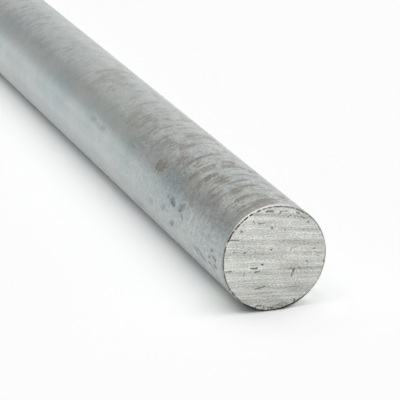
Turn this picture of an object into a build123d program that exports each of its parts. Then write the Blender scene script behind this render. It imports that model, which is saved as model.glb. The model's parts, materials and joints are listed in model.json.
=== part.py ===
from build123d import *
import os

# A cut length of hot-rolled round steel bar, lying on its side along X.
# Millimetres, +Z up. The origin is on the floor, under the middle of the bar.

BAR_DIAMETER = 20.0  # rolled size, measured over the mill scale
BAR_LENGTH = 500.0  # from one sawn face to the other
EDGE_BREAK = 0.25  # 45-degree break left where the saw's burr is taken off each rim


def rolled_section():
    """The round section that the bar is rolled to, resting on the floor."""
    return Plane.YZ * (Pos(0, BAR_DIAMETER / 2) * Circle(BAR_DIAMETER / 2))


def sawn_rims(blank):
    """The sharp edge round each of the two sawn faces."""
    return blank.faces().filter_by(Axis.X).edges()


def round_bar():
    """One solid: the section run along X, sawn square at both ends, with its rims broken."""
    blank = extrude(rolled_section(), amount=BAR_LENGTH / 2, both=True)
    return chamfer(sawn_rims(blank), EDGE_BREAK)


os.makedirs("parts", exist_ok=True)
export_step(round_bar(), "parts/round_bar.step")
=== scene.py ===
import json
import math

import bpy
from mathutils import Matrix, Vector


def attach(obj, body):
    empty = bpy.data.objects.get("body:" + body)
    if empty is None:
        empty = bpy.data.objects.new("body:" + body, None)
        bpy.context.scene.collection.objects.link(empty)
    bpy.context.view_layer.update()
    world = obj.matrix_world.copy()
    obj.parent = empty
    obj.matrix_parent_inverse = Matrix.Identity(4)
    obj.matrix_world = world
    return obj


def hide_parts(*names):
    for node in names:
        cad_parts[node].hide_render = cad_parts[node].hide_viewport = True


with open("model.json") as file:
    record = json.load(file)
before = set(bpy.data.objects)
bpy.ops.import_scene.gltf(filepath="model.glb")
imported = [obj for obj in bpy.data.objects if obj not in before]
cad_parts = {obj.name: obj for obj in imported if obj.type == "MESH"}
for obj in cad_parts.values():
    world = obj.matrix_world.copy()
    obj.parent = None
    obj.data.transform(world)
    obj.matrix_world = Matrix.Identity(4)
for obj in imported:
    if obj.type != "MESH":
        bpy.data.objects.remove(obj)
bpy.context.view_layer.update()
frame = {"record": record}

# -------------------------------- sizes, in metres, from the frame
MM = 0.001
MOUNTS = {mount["name"]: mount for mount in frame["record"]["mounts"]}
OUTSIDE = MOUNTS["round_outside"]
RADIUS = OUTSIDE["dims"]["r_mm"] * MM
AXIS_HEIGHT = OUTSIDE["pos_m"][2]
HALF_LENGTH = MOUNTS["sawn_end_front"]["pos_m"][0]
EDGE_BREAK = HALF_LENGTH - OUTSIDE["dims"]["length_mm"] * MM / 2
RADIUS_MM = RADIUS / MM
LENGTH_MM = 2 * HALF_LENGTH / MM

# -------------------------------- the saw's and the mill's marks, in millimetres
SAW_LEAN = math.radians(6.5)  # the saw's lines lean this far from level, down towards +Y
SAW_FAN = 0.008  # and close up by this much for each millimetre along them
FEED_STEP = 3.0  # the blade was fed down in steps this far apart, a little closer higher up
FEED_CREST = -3.9  # and left a crest this far up from the axis
RIDGES = {"width": 0.7, "length": 14.0, "seed": 12.0, "detail": 3.0}  # deep enough to feel

# what the saw tore out of the front end and dragged along it, from the top down: across, up, length,
# lean in degrees, width and strength
END_SPOTS = (
    (1.1, 8.4, 0.2, 60, 0.30, 0.8),
    (6.4, 6.1, 0.25, -10, 0.30, 0.7),
    (-6.2, 5.7, 0.2, -20, 0.28, 0.7),
    (-0.45, 5.65, 0.15, -50, 0.28, 0.8),
    (2.05, 5.15, 0.1, 60, 0.20, 0.7),
    (4.4, 1.9, 0.3, 70, 0.12, 0.5),
    (-0.55, 1.65, 0.1, 30, 0.28, 0.9),
    (-5.6, 1.6, 0.2, 20, 0.28, 0.8),
    (7.6, 0.95, 0.2, 10, 0.28, 0.8),
    (8.5, -0.5, 0.15, 0, 0.22, 0.5),
    (-2.25, -0.95, 0.02, 0, 0.33, 1.0),
    (6.3, -1.3, 0.05, 0, 0.34, 1.0),
    (9.5, -1.6, 0.15, 80, 0.30, 0.8),
    (-5.8, -2.6, 0.1, 0, 0.18, 0.4),
    (3.4, -3.6, 0.3, 80, 0.28, 0.8),
    (3.95, -8.45, 0.2, 60, 0.36, 0.9),
)
END_DRAGS = (
    (-0.85, 8.85, 1.2, -2, 0.33, 0.8),
    (1.9, 8.65, 1.3, -6, 0.20, 0.6),
    (4.45, 8.05, 0.5, -30, 0.30, 0.7),
    (2.8, 7.65, 0.7, 30, 0.20, 0.5),
    (-3.9, 7.2, 0.4, -60, 0.30, 0.5),
    (5.35, 7.1, 0.7, -40, 0.24, 0.6),
    (-2.5, 6.8, 1.0, -3, 0.22, 0.7),
    (-7.55, 4.2, 1.9, -5, 0.16, 0.8),
    (-7.5, 1.9, 0.8, -4, 0.14, 0.5),
    (3.9, 1.65, 0.8, 10, 0.16, 0.4),
    (3.2, 1.35, 0.7, 60, 0.16, 0.5),
    (8.7, -0.05, 1.0, -1, 0.14, 0.5),
    (-3.85, -1.55, 1.2, -1, 0.34, 0.9),
    (-8.7, -1.6, 1.0, -2, 0.20, 0.8),
    (-3.25, -2.25, 0.7, 4, 0.28, 0.8),
    (3.3, -2.35, 0.5, 140, 0.20, 0.5),
    (3.75, -2.8, 0.5, 62, 0.30, 0.9),
    (-2.1, -5.25, 1.0, 7, 0.18, 0.7),
    (-3.1, -5.45, 1.0, 7, 0.25, 0.75),
    (-2.85, -8.8, 0.9, 5, 0.34, 0.7),
    (2.0, -8.8, 1.0, -10, 0.24, 0.5),
    (0.6, -9.0, 0.8, 15, 0.24, 0.5),
)
# brown stains on the front stretch of the skin: back from the end, round from the top towards -Y,
# and then length, lean, width and strength as above
SKIN_STAINS = (
    (2.3, 2.5, 3.5, 90, 3.6, 0.7),
    (7.0, 2.6, 3.4, 90, 1.5, 1.0),
    (12.3, 1.2, 4.0, 90, 1.7, 1.0),
    (13.6, 7.4, 3.6, 8, 2.4, 0.6),
    (16.2, 8.6, 1.4, 60, 1.6, 0.8),
    (18.6, 3.6, 2.4, 0, 2.4, 0.8),
    (22.2, 5.4, 4.0, 90, 1.4, 0.9),
    (25.6, -0.6, 2.2, -20, 2.8, 1.0),
    (26.8, 4.4, 4.6, 84, 1.4, 1.0),
    (28.4, 7.4, 1.0, 90, 1.4, 0.8),
    (32.2, 2.6, 7.0, 90, 1.2, 0.9),
    (35.0, 5.0, 3.4, 0, 2.6, 0.9),
    (40.0, 2.5, 1.4, 90, 2.2, 0.9),
    (40.3, 9.1, 1.8, 5, 2.6, 1.4),
    (46.5, 5.2, 4.0, 0, 3.0, 0.9),
    (61.0, 4.6, 9.0, 0, 4.4, 0.9),
    (90.0, 0.8, 9.0, 0, 6.0, 0.6),
)
# scale torn out of the skin, given in the same way
SKIN_PITS = (
    (3.8, 16.0, 1.1, -20, 0.42, 1.0),
    (3.9, 17.6, 1.3, -20, 0.42, 1.0),
    (4.9, 15.9, 1.0, -10, 0.36, 0.8),
    (5.4, 14.8, 0.6, 10, 0.42, 0.9),
    (5.9, 18.2, 1.2, -20, 0.36, 0.6),
    (6.7, 16.6, 0.9, 25, 0.34, 0.7),
    (7.3, 17.8, 0.7, -15, 0.42, 0.9),
    (10.9, 18.1, 2.1, -12, 0.46, 0.9),
    (12.4, 17.3, 1.5, -20, 0.42, 0.75),
    (14.1, 17.9, 2.0, -15, 0.65, 0.75),
    (22.0, 14.0, 0.9, -24, 0.5, 0.8),
    (23.3, 12.4, 1.5, 35, 1.2, 1.0),
    (27.8, 16.9, 1.6, 25, 0.8, 0.9),
    (28.0, 12.7, 1.7, -12, 1.0, 0.95),
    (30.8, 12.4, 0.5, 0, 0.5, 0.5),
    (32.4, 15.2, 1.2, 15, 0.9, 0.6),
    (40.0, 16.2, 1.6, 10, 0.9, 0.5),
    (49.5, 20.5, 5.0, 20, 1.0, 0.5),
    (52.0, 7.6, 1.0, 0, 0.7, 0.4),
    (56.0, 9.6, 1.6, 0, 0.8, 0.4),
    (74.0, 11.0, 2.0, 10, 1.0, 0.4),
    (80.5, 10.8, 2.4, 5, 1.0, 0.4),
)
# strips along the skin, partly the scale's own tone and partly painted light and shade, lighter or darker than
# the rest: the way they face in degrees, where they start and are full, as facing takes them, and their change
# of tone near the ends and further in
SKIN_TONE_AND_SHADE_STRIPS = (
    (50, 0.96, 0.999, 0.06, 0.06),
    (62, 0.85, 0.99, 0.12, 0.12),
    (100, 0.62, 0.86, 0.045, -0.095),
    (102, 0.93, 0.99, 0.0, -0.11),
    (147, 0.935, 0.995, 0.0, 0.31),
    (180, 0.75, 0.95, -0.06, 0.06),
    (200, 0.94, 0.99, 0.0, -0.26),
)


# -------------------------------- the steel's colours
def rgb(red, green, blue):
    return (red, green, blue, 1.0)


SCALE_BLUE = rgb(0.345, 0.395, 0.403)
SCALE_GREY = rgb(0.41, 0.44, 0.43)
SCALE_ON_TOP = rgb(0.40, 0.41, 0.385)
SCALE_LOW_DOWN = rgb(0.395, 0.405, 0.40)
STAIN_BROWN = rgb(0.272, 0.244, 0.216)
STAIN_GREY = rgb(0.225, 0.228, 0.212)
WISP_BROWN = rgb(0.19, 0.18, 0.165)
PIT_FLOOR = rgb(0.16, 0.148, 0.135)
BARE_STEEL = rgb(0.585, 0.593, 0.56)
SCORE_BLACK = rgb(0.065, 0.062, 0.055)
BURR_GREY = rgb(0.12, 0.115, 0.105)
FLAKE_WHITE = rgb(0.66, 0.66, 0.61)
# the rim's lip, plain and with a painted highlight where it faces up
LIP_DULL = rgb(0.38, 0.385, 0.375)
LIP_PAINTED_HIGHLIGHT = rgb(0.80, 0.79, 0.76)
TEAR_BLACK = rgb(0.055, 0.055, 0.05)
TEAR_BROWN = rgb(0.07, 0.052, 0.042)
# painted shadow along the lower rim of the end
FOOT_PAINTED_SHADOW = rgb(0.045, 0.045, 0.038)


# -------------------------------- node helpers
class Number:
    """A number that a node tree works out for each point. Arithmetic on it adds Math nodes."""

    def __init__(self, maker, socket):
        self.maker, self.socket = maker, socket

    def __add__(self, other):
        return self.maker.math("ADD", self, other)

    def __radd__(self, other):
        return self.maker.math("ADD", other, self)

    def __sub__(self, other):
        return self.maker.math("SUBTRACT", self, other)

    def __rsub__(self, other):
        return self.maker.math("SUBTRACT", other, self)

    def __mul__(self, other):
        return self.maker.math("MULTIPLY", self, other)

    def __rmul__(self, other):
        return self.maker.math("MULTIPLY", other, self)

    def __truediv__(self, other):
        return self.maker.math("DIVIDE", self, other)

    def __rtruediv__(self, other):
        return self.maker.math("DIVIDE", other, self)

    def __pow__(self, other):
        return self.maker.math("POWER", self, other)

    def __abs__(self):
        return self.maker.math("ABSOLUTE", self)


class Maker:
    """Adds nodes to one tree: of a material, the world, a node group or a shape."""

    def __init__(self, tree):
        self.tree = tree

    def add(self, kind, inputs=(), **settings):
        """A node with its settings, and its inputs given by name or number."""
        node = self.tree.nodes.new(kind)
        for name, value in settings.items():
            setattr(node, name, value)
        for key, value in dict(inputs).items():
            self.feed(node.inputs[key], value)
        return node

    def feed(self, socket, value):
        """Links a socket to a value of the tree, or sets it to a plain one."""
        if isinstance(value, Number):
            value = value.socket
        if isinstance(value, bpy.types.NodeSocket):
            self.tree.links.new(value, socket)
        else:
            socket.default_value = value

    def number(self, socket):
        return Number(self, socket)

    def math(self, operation, *values):
        node = self.add("ShaderNodeMath", enumerate(values), operation=operation)
        return Number(self, node.outputs[0])

    def split(self, vector):
        """The three numbers of a vector."""
        node = self.add("ShaderNodeSeparateXYZ", {0: vector})
        return [Number(self, out) for out in node.outputs]

    def join(self, x, y, z):
        return self.add("ShaderNodeCombineXYZ", {0: x, 1: y, 2: z}).outputs[0]

    def ramp(self, value, start, end, low=0.0, high=1.0, kind="SMOOTHSTEP"):
        """Goes from low to high as value goes from start to end, and stays there."""
        node = self.add(
            "ShaderNodeMapRange",
            {0: value, 1: start, 2: end, 3: low, 4: high},
            interpolation_type=kind,
        )
        return Number(self, node.outputs[0])

    def noise(self, place, seed, detail=2.0, roughness=0.5):
        """Soft noise from 0 to 1 with a grain of about one unit of the place."""
        sockets = {"Vector": place, "W": seed, "Scale": 1.0, "Detail": detail, "Roughness": roughness}
        node = self.add("ShaderNodeTexNoise", sockets, noise_dimensions="4D")
        return Number(self, node.outputs[0])

    def mix(self, mask, first, second):
        """A colour that goes from the first to the second with the mask."""
        node = self.add("ShaderNodeMix", data_type="RGBA")
        for socket, value in zip((node.inputs[0], node.inputs[6], node.inputs[7]), (mask, first, second)):
            self.feed(socket, value)
        return node.outputs[2]

    def shade(self, colour, level):
        """The colour made lighter or darker by a level about 1."""
        colour = colour[:3] if isinstance(colour, tuple) else colour
        return self.add("ShaderNodeVectorMath", {0: colour, 3: level}, operation="SCALE").outputs[0]


# -------------------------------- patterns that the form and the finishes share
def streak_noise(make, across, run, rise, width, length, seed, detail):
    """Noise drawn out into lines: it changes within width across them, and within length along them."""
    place = make.join(across / width, run / length, rise / length)
    return make.noise(place, seed, detail, 0.6)


def speck_mask(make, place, spacing, size, share, seed):
    """Scattered ragged spots: share of the cells, spacing apart, hold one of about size across."""
    cell = make.add("ShaderNodeVectorMath", {0: place, 3: 1.0 / spacing}, operation="SCALE").outputs[0]
    ragged = make.noise(cell, 3.0, 3.0) - 0.5
    cells = make.add(
        "ShaderNodeTexVoronoi",
        {"Vector": cell, "W": seed, "Scale": 1.0, "Randomness": 0.9},
        voronoi_dimensions="4D",
    )
    chosen = make.math("LESS_THAN", make.split(cells.outputs["Color"])[0], share)
    far = make.number(cells.outputs["Distance"]) * spacing + ragged * size
    return make.ramp(far, size * 0.6, size * 0.3) * chosen


def stroke_mask(make, first, second, strokes):
    """Short strokes on a face, given as first, second, length, lean in degrees, width and strength."""
    total = None
    wobble = make.noise(make.join(first * 1.5, second * 1.5, 0.0), 9.0, 4.0, 0.65) - 0.5
    for centre_first, centre_second, length, lean, width, strength in strokes:
        lean = math.radians(lean)
        right, above = first - centre_first, second - centre_second
        along = right * math.cos(lean) + above * math.sin(lean)
        aside = above * math.cos(lean) - right * math.sin(lean)
        past = make.math("MAXIMUM", abs(along) - length / 2, 0.0)
        far = make.math("SQRT", past * past + aside * aside) + wobble * (width * 2.2)
        mask = make.ramp(far, width * 0.68, width * 0.38, 0.0, strength)
        total = mask if total is None else make.math("MAXIMUM", total, mask)
    return total


def end_place(make, across, up):
    """Along and square to the saw's lines on a sawn end."""
    run = across * math.cos(SAW_LEAN) - up * math.sin(SAW_LEAN)
    rise = across * math.sin(SAW_LEAN) + up * math.cos(SAW_LEAN)
    return run, rise * (1.0 + run * SAW_FAN)


def saw_feed(make, run, rise):
    """Level waves where the blade was fed down in steps: 1 on a crest, and -1 between."""
    drift = (make.noise(make.join(run / 12.0, rise / FEED_STEP, 0.0), 17.0) - 0.5) * 1.2
    past = rise - FEED_CREST + drift
    return make.math("COSINE", (past / FEED_STEP + past * past * 0.004) * (2 * math.pi))


def facing(make, across, up, degrees, start, full, low=0.0):
    """How much the bar faces this way, where 0 degrees is +Y and 90 is up: low until start, and 1 from full on.

    Both are cosines: 1 faces it squarely, 0 is square to it and -1 is the far side.
    """
    angle = math.radians(degrees)
    closeness = (across * math.cos(angle) + up * math.sin(angle)) / RADIUS_MM
    return make.ramp(closeness, start, full, low, 1.0)


def rim_tear(make, place, across, up, from_rim):
    """Where the end is torn near its rim: a broken line just inside the lip, a burr, and a ragged dark edge of
    painted shadow along the lower rim.
    """

    def part(degrees, start, full):
        return facing(make, across, up, degrees, start, full)

    # the line: how far in from the rim it runs, how wide it is and where it breaks
    left = part(140, -0.2, 0.2)
    low = part(225, 0.80, 0.95)
    crown = part(80, 0.80, 0.95)
    whole = part(190, 0.80, 0.95)
    waver = (make.noise(make.shade(place, 1.3), 21.0, 3.0) - 0.5) * 0.25
    dash = make.noise(make.shade(place, 1.3), 22.0, 4.0, 0.7)
    inset = 0.14 + left * 0.19 - low * 0.06
    width = 0.02 + left * 0.055 - low * 0.035 - whole * 0.018 + (dash - 0.5) * 0.30
    dashes = make.ramp(dash + whole * 0.08, 0.38, 0.50) * left + (1.0 - left) * 0.5
    broken = make.math("MAXIMUM", dashes, low * 0.65) * (1.0 - crown * 0.3 - whole * 0.1)
    line = make.ramp(abs(from_rim - inset + waver) - width, 0.10, 0.02) * broken

    # the burr, hanging on the lower rim
    below = part(264, 0.80, 0.94)
    ragged = make.noise(make.shade(place, 1.7), 31.0, 4.0, 0.7)
    burr = make.ramp(ragged + below * 0.20 - abs(from_rim - 0.6) * 0.26, 0.60, 0.68) * below

    # a painted shadow along the lower rim, thickest where the blade broke through
    crescent = part(290, 0.86, 0.97)
    torn = part(242, 0.95, 0.99)
    thick = 0.12 + crescent * 0.28 + torn * 0.38 + (ragged - 0.5) * (0.5 + torn - crescent * 0.3)
    shadow_foot = make.ramp(from_rim - thick, 0.06, -0.04) * part(278, 0.60, 0.76)
    return line, burr, shadow_foot


# -------------------------------- the bar's form
FORM_SIZES = {
    "Radius": RADIUS,
    "Half length": HALF_LENGTH,
    "Edge break": EDGE_BREAK,
    "Even rings": 0.053,  # how far back from each end the rings stay evenly spaced
    "Saw depth": 0.03 * MM,
    "Tear depth": 0.12 * MM,
    "Mark depth": 0.12 * MM,
    "Pit depth": 0.216 * MM,
    "Roll depth": 0.05 * MM,
    "Segments round": 240,
    "Rings along": 264,
    "Rings on an end": 75,
}
FLAT_SHARE = 0.96  # this share of an end's rings is flat, and the rest goes round its rim


def bar_form():
    """The tree that turns a plain cylinder into the bar, relief and all."""
    tree = bpy.data.node_groups.new("bar_form", "GeometryNodeTree")
    for name, value in FORM_SIZES.items():
        kind = "NodeSocketInt" if isinstance(value, int) else "NodeSocketFloat"
        tree.interface.new_socket(name, in_out="INPUT", socket_type=kind)
    tree.interface.new_socket("Bar", in_out="OUTPUT", socket_type="NodeSocketGeometry")
    make = Maker(tree)
    given = make.add("NodeGroupInput").outputs
    radius, half, rim, even = (
        make.number(given[name]) for name in ("Radius", "Half length", "Edge break", "Even rings")
    )

    blank = make.add(
        "GeometryNodeMeshCylinder",
        {
            "Vertices": given["Segments round"],
            "Side Segments": given["Rings along"],
            "Fill Segments": given["Rings on an end"],
            "Radius": 1.0,
            "Depth": 2.0,
        },
        fill_type="TRIANGLE_FAN",
    )
    at = make.split(make.add("GeometryNodeInputPosition").outputs[0])
    out = make.math("SQRT", at[0] * at[0] + at[1] * at[1])
    safe = make.math("MAXIMUM", out, 1e-6)
    turn_y, turn_z = at[0] / safe, at[1] / safe
    end = make.math("SIGN", at[2])
    on_end = make.ramp(abs(at[2]), 0.9999, 0.99995, 0.0, 1.0, "LINEAR")

    # along the side the rings are even near the ends, and wider and wider apart towards the middle
    inward = 1.0 - abs(at[2])
    step = inward * even + (half - rim - even) * inward ** 6.0
    # on an end they are flat up to the rim, which is a quarter round
    turn = make.ramp(out, FLAT_SHARE, 1.0, 0.0, math.pi / 2, "LINEAR")
    flat = make.ramp(out, 0.0, FLAT_SHARE, 0.0, 1.0, "LINEAR")
    r = flat * (radius - rim) + make.math("SINE", turn) * rim
    inset = (1.0 - make.math("COSINE", turn)) * rim + step

    # where that is on the bar, in millimetres
    back = (half - end * (half - inset)) / MM
    across, up = r * turn_y / MM, r * turn_z / MM
    run, rise = end_place(make, across, up)
    place = make.join(back, across, up)

    # relief cut into the ends
    line, burr, shadow_foot = rim_tear(make, place, across, up, (radius - r) / MM)
    ridges = streak_noise(make, rise, run, back, **RIDGES)
    front = make.math("GREATER_THAN", end, 0.0)
    marks = stroke_mask(make, across, up, END_SPOTS + END_DRAGS) * front
    flat_part = make.ramp(out, 0.985, 0.95)
    feed = saw_feed(make, run, rise)
    saw_cut = (1.2 - ridges - feed * 0.2) * flat_part * given["Saw depth"]
    tear_cut = make.math("MAXIMUM", line, burr + shadow_foot * 0.5) * given["Tear depth"]
    mark_cut = marks * flat_part * given["Mark depth"]
    cut = (saw_cut + tear_cut + mark_cut) * on_end

    # relief rolled and torn into the skin
    angle = make.math("ARCTAN2", across * -1.0, up) * RADIUS_MM
    dents = stroke_mask(make, back, angle, SKIN_PITS)
    wave = make.noise(make.join(back / 9.0, across / 5.0, up / 5.0), 41.0, 3.0)
    on_side = make.ramp(inset, rim, rim + 0.6 * MM)
    press = (wave * given["Roll depth"] + dents * given["Pit depth"]) * on_side

    x = end * (half - inset - cut)
    y = (r - press) * turn_y
    z = (r - press) * turn_z + AXIS_HEIGHT
    placed = make.add(
        "GeometryNodeSetPosition",
        {"Geometry": blank.outputs["Mesh"], "Position": make.join(x, y, z)},
    )
    smooth = make.add("GeometryNodeSetShadeSmooth", {"Geometry": placed.outputs[0]})
    real = make.add("GeometryNodeRealizeInstances", {"Geometry": smooth.outputs[0]})
    both_ends = enumerate((blank.outputs["Top"], blank.outputs["Bottom"]))
    either = make.add("FunctionNodeBooleanMath", both_ends, operation="OR")
    skin = make.add(
        "GeometryNodeSetMaterial",
        {"Geometry": real.outputs[0], "Material": bpy.data.materials["mill_scale"]},
    )
    ends = make.add(
        "GeometryNodeSetMaterial",
        {
            "Geometry": skin.outputs[0],
            "Selection": either.outputs[0],
            "Material": bpy.data.materials["sawn_steel"],
        },
    )
    make.add("NodeGroupOutput", {0: ends.outputs[0]})
    return tree


def make_bar():
    """The bar as a plain mesh, in place of the CAD one."""
    holder = bpy.data.objects.new("holder", bpy.data.meshes.new("holder"))
    bpy.context.scene.collection.objects.link(holder)
    form = holder.modifiers.new("form", "NODES")
    form.node_group = bar_form()
    for port in form.node_group.interface.items_tree:
        if port.in_out == "INPUT":
            form[port.identifier] = FORM_SIZES[port.name]
    ready = holder.evaluated_get(bpy.context.evaluated_depsgraph_get())
    mesh = bpy.data.meshes.new_from_object(ready)
    bpy.data.objects.remove(holder)
    mesh.name = "rolled_bar"
    bar = bpy.data.objects.new("rolled_bar", mesh)
    bpy.context.scene.collection.objects.link(bar)
    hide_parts("round_bar")
    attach(bar, "root")
    return bar


# -------------------------------- effects that both finishes use
def effect(name, inputs):
    """An empty shader node group with named inputs and one Mask, and a Maker for its nodes."""
    tree = bpy.data.node_groups.new(name, "ShaderNodeTree")
    for port, value in inputs.items():
        kind = "NodeSocketVector" if isinstance(value, tuple) else "NodeSocketFloat"
        tree.interface.new_socket(port, in_out="INPUT", socket_type=kind).default_value = value
    tree.interface.new_socket("Mask", in_out="OUTPUT", socket_type="NodeSocketFloat")
    make = Maker(tree)
    sockets = make.add("NodeGroupInput").outputs
    given = {socket.name: make.number(socket) for socket in sockets if socket.name}
    return make, given, make.add("NodeGroupOutput").inputs["Mask"]


def streaks():
    """Lines that run one way, such as a saw's scores or the rings that rolling leaves."""
    place = {"Across": 0.0, "Run": 0.0, "Rise": 0.0}
    make, given, mask = effect("streaks", place | {"Width": 1.0, "Length": 10.0, "Seed": 0.0, "Detail": 2.0})
    make.feed(mask, streak_noise(make, *given.values()))


def specks():
    """Scattered ragged spots."""
    place = {"Place": (0.0, 0.0, 0.0)}
    make, given, mask = effect("specks", place | {"Spacing": 1.0, "Size": 0.3, "Share": 0.3, "Seed": 0.0})
    make.feed(mask, speck_mask(make, *given.values()))


class Finish:
    """A steel finish: one Principled shader, and a Maker for what feeds it."""

    def __init__(self, name):
        self.material = bpy.data.materials.new(name)
        self.material.use_nodes = True
        self.shader = self.material.node_tree.nodes["Principled BSDF"]
        self.shader.inputs["Metallic"].default_value = 1.0
        self.make = Maker(self.material.node_tree)
        x, y, z = self.make.split(self.make.add("ShaderNodeTexCoord").outputs["Object"])
        # millimetres back from the front end, and across and up from the bar's own axis
        self.back = (HALF_LENGTH - x) / MM
        self.across = y / MM
        self.up = (z - AXIS_HEIGHT) / MM
        self.place = self.make.join(self.back, self.across, self.up)

    def use(self, group, **inputs):
        """One of the shared effects, with this finish's own values."""
        node = self.make.add("ShaderNodeGroup", node_tree=bpy.data.node_groups[group])
        for name, value in inputs.items():
            self.make.feed(node.inputs[name.capitalize()], value)
        return self.make.number(node.outputs["Mask"])

    def facing(self, degrees, start, full, low=0.0):
        """The part of the bar that faces one way."""
        return facing(self.make, self.across, self.up, degrees, start, full, low)

    def finish(self, colour, roughness, height, depth):
        self.make.feed(self.shader.inputs["Base Color"], colour)
        self.make.feed(self.shader.inputs["Roughness"], roughness)
        bump = self.make.add("ShaderNodeBump", {"Height": height, "Distance": depth, "Strength": 1.0})
        self.make.feed(self.shader.inputs["Normal"], bump.outputs[0])


def mill_scale():
    """Blue-grey oxide from the rolling mill, stained brown in bands round the bar."""
    skin = Finish("mill_scale")
    make, back = skin.make, skin.back
    ways = {"across": back, "run": skin.across, "rise": skin.up}

    def lines(width, length, seed, detail=3.0):
        return skin.use("streaks", width=width, length=length, seed=seed, detail=detail, **ways)

    fine_rings = lines(0.8, 4.0, 1.0, 4.0)
    wide_rings = lines(3.4, 9.0, 2.0)
    blots = lines(2.6, 2.2, 3.0, 5.0)
    clouds = lines(12.0, 9.0, 4.0)
    grain = lines(0.8, 0.45, 5.0, 2.0)
    flecks = lines(1.5, 0.9, 6.0, 2.0)
    wisps = lines(0.8, 8.0, 8.0, 4.0)
    hue = lines(1.6, 1.6, 9.0, 3.0)

    # the ends are the most handled, so the markings are strongest there and fade along the bar
    from_end = make.math("MINIMUM", back, LENGTH_MM - back)
    handled = make.ramp(from_end, 12.0, 85.0, 1.0, 0.30)

    # stains, mostly on top of the bar
    angle = make.math("ARCTAN2", skin.across * -1.0, skin.up) * RADIUS_MM
    dried = stroke_mask(make, back, angle, SKIN_STAINS)
    top = skin.facing(100, 0.62, 0.86)
    further = make.ramp(back, 45.0, 55.0)
    rings = (1.0 - further) * 0.14 + further * wide_rings * 0.3
    mottle = (grain - 0.5) * 0.5 + (flecks - 0.5) * 0.5 + (wisps - 0.5) * 0.8
    mottle = mottle * (0.5 + 0.5 * handled)
    level = blots * 0.6 + fine_rings * 0.35 + rings + mottle + dried * 0.15 + top * 0.03
    over = make.math("MAXIMUM", skin.facing(80, 0.35, 0.85, 0.12), dried * 0.75)
    stain = make.ramp(level, 0.65, 0.78) * (0.28 + 0.82 * handled) * over
    wisp = make.ramp(wisps + (blots - 0.5) * 0.4, 0.545, 0.61) * over * handled

    colour = make.mix(make.ramp(clouds, 0.35, 0.65), SCALE_BLUE, SCALE_GREY)
    colour = make.mix(top * make.ramp(back, 90.0, 150.0, 0.5, 0.25), colour, SCALE_ON_TOP)
    colour = make.mix(skin.facing(195, 0.85, 0.97) * 0.25, colour, SCALE_LOW_DOWN)
    stain_colour = make.mix(make.ramp(hue, 0.42, 0.58), STAIN_BROWN, STAIN_GREY)
    colour = make.mix(stain, colour, stain_colour)
    colour = make.mix(wisp * 0.55, colour, WISP_BROWN)

    texture = (fine_rings - 0.5) * 0.8 + (grain - 0.5) * 1.9 + (flecks - 0.5) * 1.1 + (wisps - 0.5) * 1.2
    texture = texture * (0.6 + 0.4 * over)
    tone = 1.09 + (1.0 - handled) * 0.10 + texture * handled
    # painted light and shade, in part: each strip makes the skin lighter or darker where it faces one way
    for way, start, full, at_ends, further_in in SKIN_TONE_AND_SHADE_STRIPS:
        change = make.ramp(handled, 1.0, 0.0, at_ends, further_in, "LINEAR")
        tone = tone + skin.facing(way, start, full) * change

    # scale torn out: the placed pits, and a few small ones all over
    dents = stroke_mask(make, back, angle, SKIN_PITS)
    pits = skin.use("specks", place=skin.place, spacing=3.4, size=0.5, share=0.10, seed=7.0)
    holes = make.math("MAXIMUM", pits * 0.7, dents)
    colour = make.mix(holes * 0.55, make.shade(colour, tone), PIT_FLOOR)
    roughness = 0.36 + stain * 0.10 + (grain - 0.5) * 0.1
    height = fine_rings * 0.3 + grain * 0.4 - holes * 3.0 + blots * 0.3
    skin.finish(colour, roughness, height, 0.04 * MM)


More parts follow.
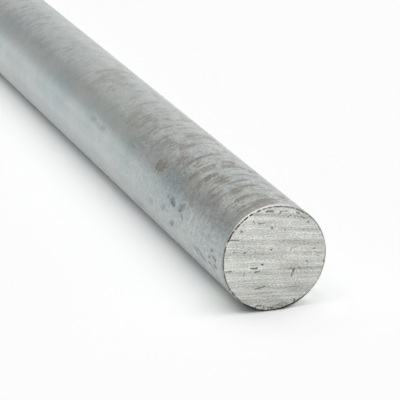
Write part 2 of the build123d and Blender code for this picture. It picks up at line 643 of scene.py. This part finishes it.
def sawn_steel():
    """Bare steel as the saw left it, with level lines and a torn line inside a rim that has a painted highlight
    on top.
    """
    cut = Finish("sawn_steel")
    make, back, across, up = cut.make, cut.back, cut.across, cut.up
    run, rise = end_place(make, across, up)
    ways = {"across": rise, "run": run, "rise": back}

    def lines(width, length, seed, detail=2.0):
        return cut.use("streaks", width=width, length=length, seed=seed, detail=detail, **ways)

    bands = lines(2.2, 60.0, 11.0)
    ridges = lines(**RIDGES)
    scores = lines(0.32, 9.0, 13.0, 4.0)
    grit = lines(0.15, 0.40, 14.0, 3.0)
    hairs = lines(0.14, 3.0, 15.0, 2.0)
    clouds = lines(3.0, 3.5, 16.0)
    tone = (
        1.0
        + saw_feed(make, run, rise) * 0.065
        + (bands - 0.5) * 0.35
        + (ridges - 0.5) * 1.2
        + (scores - 0.5) * 1.05
        + (grit - 0.5) * 2.2
        + (clouds - 0.5) * 0.5
    )
    # painted shade: the end is darker towards its bottom, where it faces the shadowed floor
    tone = tone * make.ramp(up, -0.9 * RADIUS_MM, 0.2 * RADIUS_MM, 0.86, 1.0)
    colour = make.shade(BARE_STEEL, tone)

    # scratches, pits and the placed marks
    front = make.math("LESS_THAN", back, LENGTH_MM / 2)
    marks = stroke_mask(make, across, up, END_SPOTS + END_DRAGS) * front
    pits = cut.use("specks", place=cut.place, spacing=2.6, size=0.3, share=0.2, seed=5.0)
    pocks = cut.use("specks", place=cut.place, spacing=0.8, size=0.17, share=0.35, seed=6.0)
    scratch = make.math("MAXIMUM", make.ramp(hairs, 0.62, 0.72) * 0.4, pocks * 0.42)
    dark = make.math("MAXIMUM", make.math("MAXIMUM", scratch, pits * 0.6), marks)
    colour = make.mix(dark * 0.85, colour, SCORE_BLACK)

    # the rim: burr, loose flakes, a lip with a painted highlight on top, the torn line and a painted shadow
    # along the lower rim
    from_rim = RADIUS_MM - make.math("SQRT", across * across + up * up)
    line, burr, shadow_foot = rim_tear(make, cut.place, across, up, from_rim)
    flake = make.ramp(make.noise(make.shade(cut.place, 2.4), 34.0, 3.0), 0.52, 0.62)
    flake = flake * cut.facing(255, 0.86, 0.95) * make.ramp(from_rim, 0.8, 0.3)
    # painted highlight: the lip is lighter and wider where it faces up
    lip_highlight = cut.facing(102, 0.72, 0.93)
    lip = make.ramp(from_rim - lip_highlight * 0.07, 0.22, 0.16)
    colour = make.mix(burr * 0.8, colour, BURR_GREY)
    colour = make.mix(flake * 0.7, colour, FLAKE_WHITE)
    colour = make.mix(lip, colour, make.mix(lip_highlight, LIP_DULL, LIP_PAINTED_HIGHLIGHT))
    colour = make.mix(line, colour, make.mix(cut.facing(165, 0.3, 0.8), TEAR_BLACK, TEAR_BROWN))
    # painted shadow: the ragged dark edge along the lower rim
    colour = make.mix(shadow_foot, colour, FOOT_PAINTED_SHADOW)
    roughness = 0.42 + (scores - 0.5) * 0.2
    height = ridges * 0.5 + scores * 0.4 + grit * 0.2 - dark
    cut.finish(colour, roughness, height, 0.03 * MM)


# -------------------------------- the studio
PAPER_WHITE = 0.975
PAPER_IN_BOUNCED_LIGHT = rgb(0.7, 0.7, 0.7)


def floor_paper():
    """White paper on a studio table, made a little lighter near the bar by painted light, with painted shadow
    and light around the bar. Its distances are in bar radii.
    """
    material = bpy.data.materials.new("white_paper")
    material.use_nodes = True
    material.node_tree.nodes.clear()
    make = Maker(material.node_tree)
    path = make.add("ShaderNodeLightPath")
    camera, glossy, through = (
        make.number(path.outputs[f"Is {name} Ray"]) for name in ("Camera", "Glossy", "Transmission")
    )
    direct = make.math("LESS_THAN", make.number(path.outputs["Diffuse Depth"]), 0.5)
    seen = make.math("MINIMUM", camera + glossy + through, direct)
    x, y, z = make.split(make.add("ShaderNodeTexCoord").outputs["Object"])
    from_end = (abs(x) - HALF_LENGTH) / RADIUS
    side = y / RADIUS
    beside = abs(side)
    past = make.math("MAXIMUM", from_end + 1.35, 0.0)
    far = make.math("SQRT", past * past + side * side)

    # painted shadow: darker where the bar touches it, and darker still in the bar's mirror image of it
    along = 1.0 - make.ramp(from_end, -0.15, 0.08)
    shaded = 1.0 - make.ramp(side, 0.12, 0.32)
    painted_contact_shadow = 1.0 - 0.5 * make.ramp(beside, 0.75, 0.3) * along * shaded
    nearer = make.ramp(from_end, -4.0, -2.0)
    painted_mirror_shadow = glossy * make.ramp(beside, 0.92, 0.70) * along * (0.36 + nearer * 0.22)

    # painted light: lighter on the +Y side, at the edge of the shadow, under the bar and at the end's corner
    edge_light = make.ramp(far, 2.6, 1.4) * make.ramp(beside, 1.5, 1.1) * 0.08
    under_light = make.ramp(beside, 1.05, 0.75) * make.ramp(beside, 0.1, 0.5)
    under_light = under_light * make.ramp(from_end, 0.0, -0.5) * 0.42
    corner_light = make.ramp(beside, 0.8, 0.4) * make.ramp(beside, 0.2, 0.35)
    corner_light = corner_light * make.ramp(from_end, 0.12, -0.1) * 0.25
    painted_side_light = make.ramp(side, -0.3, 0.5) * (edge_light + under_light + corner_light)
    level = painted_contact_shadow * (1.0 - painted_mirror_shadow) * (1.0 + painted_side_light)

    # painted light: lightest beside the bar, and a painted yellow tint deep in the shadow near an end
    painted_lift = 1.5 * make.math("POWER", 0.28, far)
    deep = make.ramp(from_end, -2.2, -0.8) * along * make.ramp(beside, 1.1, 0.85)
    red = 0.968 - deep * 0.02
    blue = 0.984 - deep * 0.09
    tint = make.join(PAPER_WHITE + painted_lift * red, PAPER_WHITE + painted_lift, PAPER_WHITE + painted_lift * blue)
    colour = make.mix(seen, PAPER_IN_BOUNCED_LIGHT, make.shade(tint, level))
    paper = make.add("ShaderNodeBsdfDiffuse", {"Color": colour})
    make.add("ShaderNodeOutputMaterial", {"Surface": paper.outputs[0]})
    return material


def make_floor():
    """The table under the bar."""
    reach = 40.0  # metres, so that no edge of it shows
    mesh = bpy.data.meshes.new("floor")
    corners = [(-reach, -reach, 0), (reach, -reach, 0), (reach, reach, 0), (-reach, reach, 0)]
    mesh.from_pydata(corners, [], [(0, 1, 2, 3)])
    mesh.materials.append(floor_paper())
    floor = bpy.data.objects.new("floor", mesh)
    bpy.context.scene.collection.objects.link(floor)


def make_world():
    """A white tent, open and so darker low down at the back left, and brightest overhead."""
    world = bpy.data.worlds.new("white_tent")
    bpy.context.scene.world = world
    world.use_nodes = True
    world.cycles.sampling_method = "NONE"  # so that each ray sees the tent as its own kind does
    world.node_tree.nodes.clear()
    make = Maker(world.node_tree)
    x, y, z = make.split(make.add("ShaderNodeTexCoord").outputs["Generated"])
    # angle round from -X towards -Y, and height above the horizon, in degrees
    round_left = make.math("ARCTAN2", y * -1.0, x * -1.0) * (180 / math.pi)
    height = make.math("ARCSINE", z) * (180 / math.pi)
    # the opening is an oval with soft edges, of which 1 is the rim
    wide = (round_left - 27.0) / 34.0
    tall = (height - 15.5) / 14.5
    away = make.math("SQRT", wide * wide + tall * tall)
    tent = make.ramp(away, 0.45, 1.15, 0.36, 1.0)
    # the floor and what it lights see a tent that is bright overhead
    overhead = 0.3 + 1.4 * z * z
    path = make.add("ShaderNodeLightPath")
    diffuse = make.number(path.outputs["Is Diffuse Ray"])
    second = make.math("GREATER_THAN", make.number(path.outputs["Diffuse Depth"]), 0.5)
    level = tent * (1.0 - diffuse) * (1.0 - second * 0.5) + overhead * diffuse
    camera = make.number(path.outputs["Is Camera Ray"])
    level = level * (1.0 - camera) + camera * PAPER_WHITE
    light = make.add("ShaderNodeBackground", {"Color": rgb(1, 1, 1), "Strength": level})
    make.add("ShaderNodeOutputWorld", {"Surface": light.outputs[0]})


def make_camera():
    """A long lens close to the floor, looking along the bar at its front sawn end."""
    heading = math.radians(19.41)  # the bar runs away this far to the left of the line of sight
    dip = math.radians(18.21)
    forward = Vector(
        (-math.cos(heading) * math.cos(dip), math.sin(heading) * math.cos(dip), -math.sin(dip))
    )
    right = forward.cross(Vector((0, 0, 1))).normalized()
    up = right.cross(forward)
    end_centre = Vector((HALF_LENGTH, 0, AXIS_HEIGHT))
    # in bar diameters, how far the end's centre is to the right of, below and ahead of the lens
    aside, below, ahead = 0.663, 0.519, 22.206
    offset = (right * aside - up * below + forward * ahead) * 2 * RADIUS
    data = bpy.data.cameras.new("camera")
    data.sensor_width = 36.0
    data.lens = 224.0
    data.clip_start, data.clip_end = 0.05, 100.0
    camera = bpy.data.objects.new("camera", data)
    camera.location = end_centre - offset
    camera.rotation_mode = "QUATERNION"
    camera.rotation_quaternion = Matrix((right, up, -forward)).transposed().to_quaternion()
    bpy.context.scene.collection.objects.link(camera)
    bpy.context.scene.camera = camera


streaks()
specks()
mill_scale()
sawn_steel()
make_bar()
make_floor()
make_world()
make_camera()
bpy.context.scene.view_settings.view_transform = "Standard"
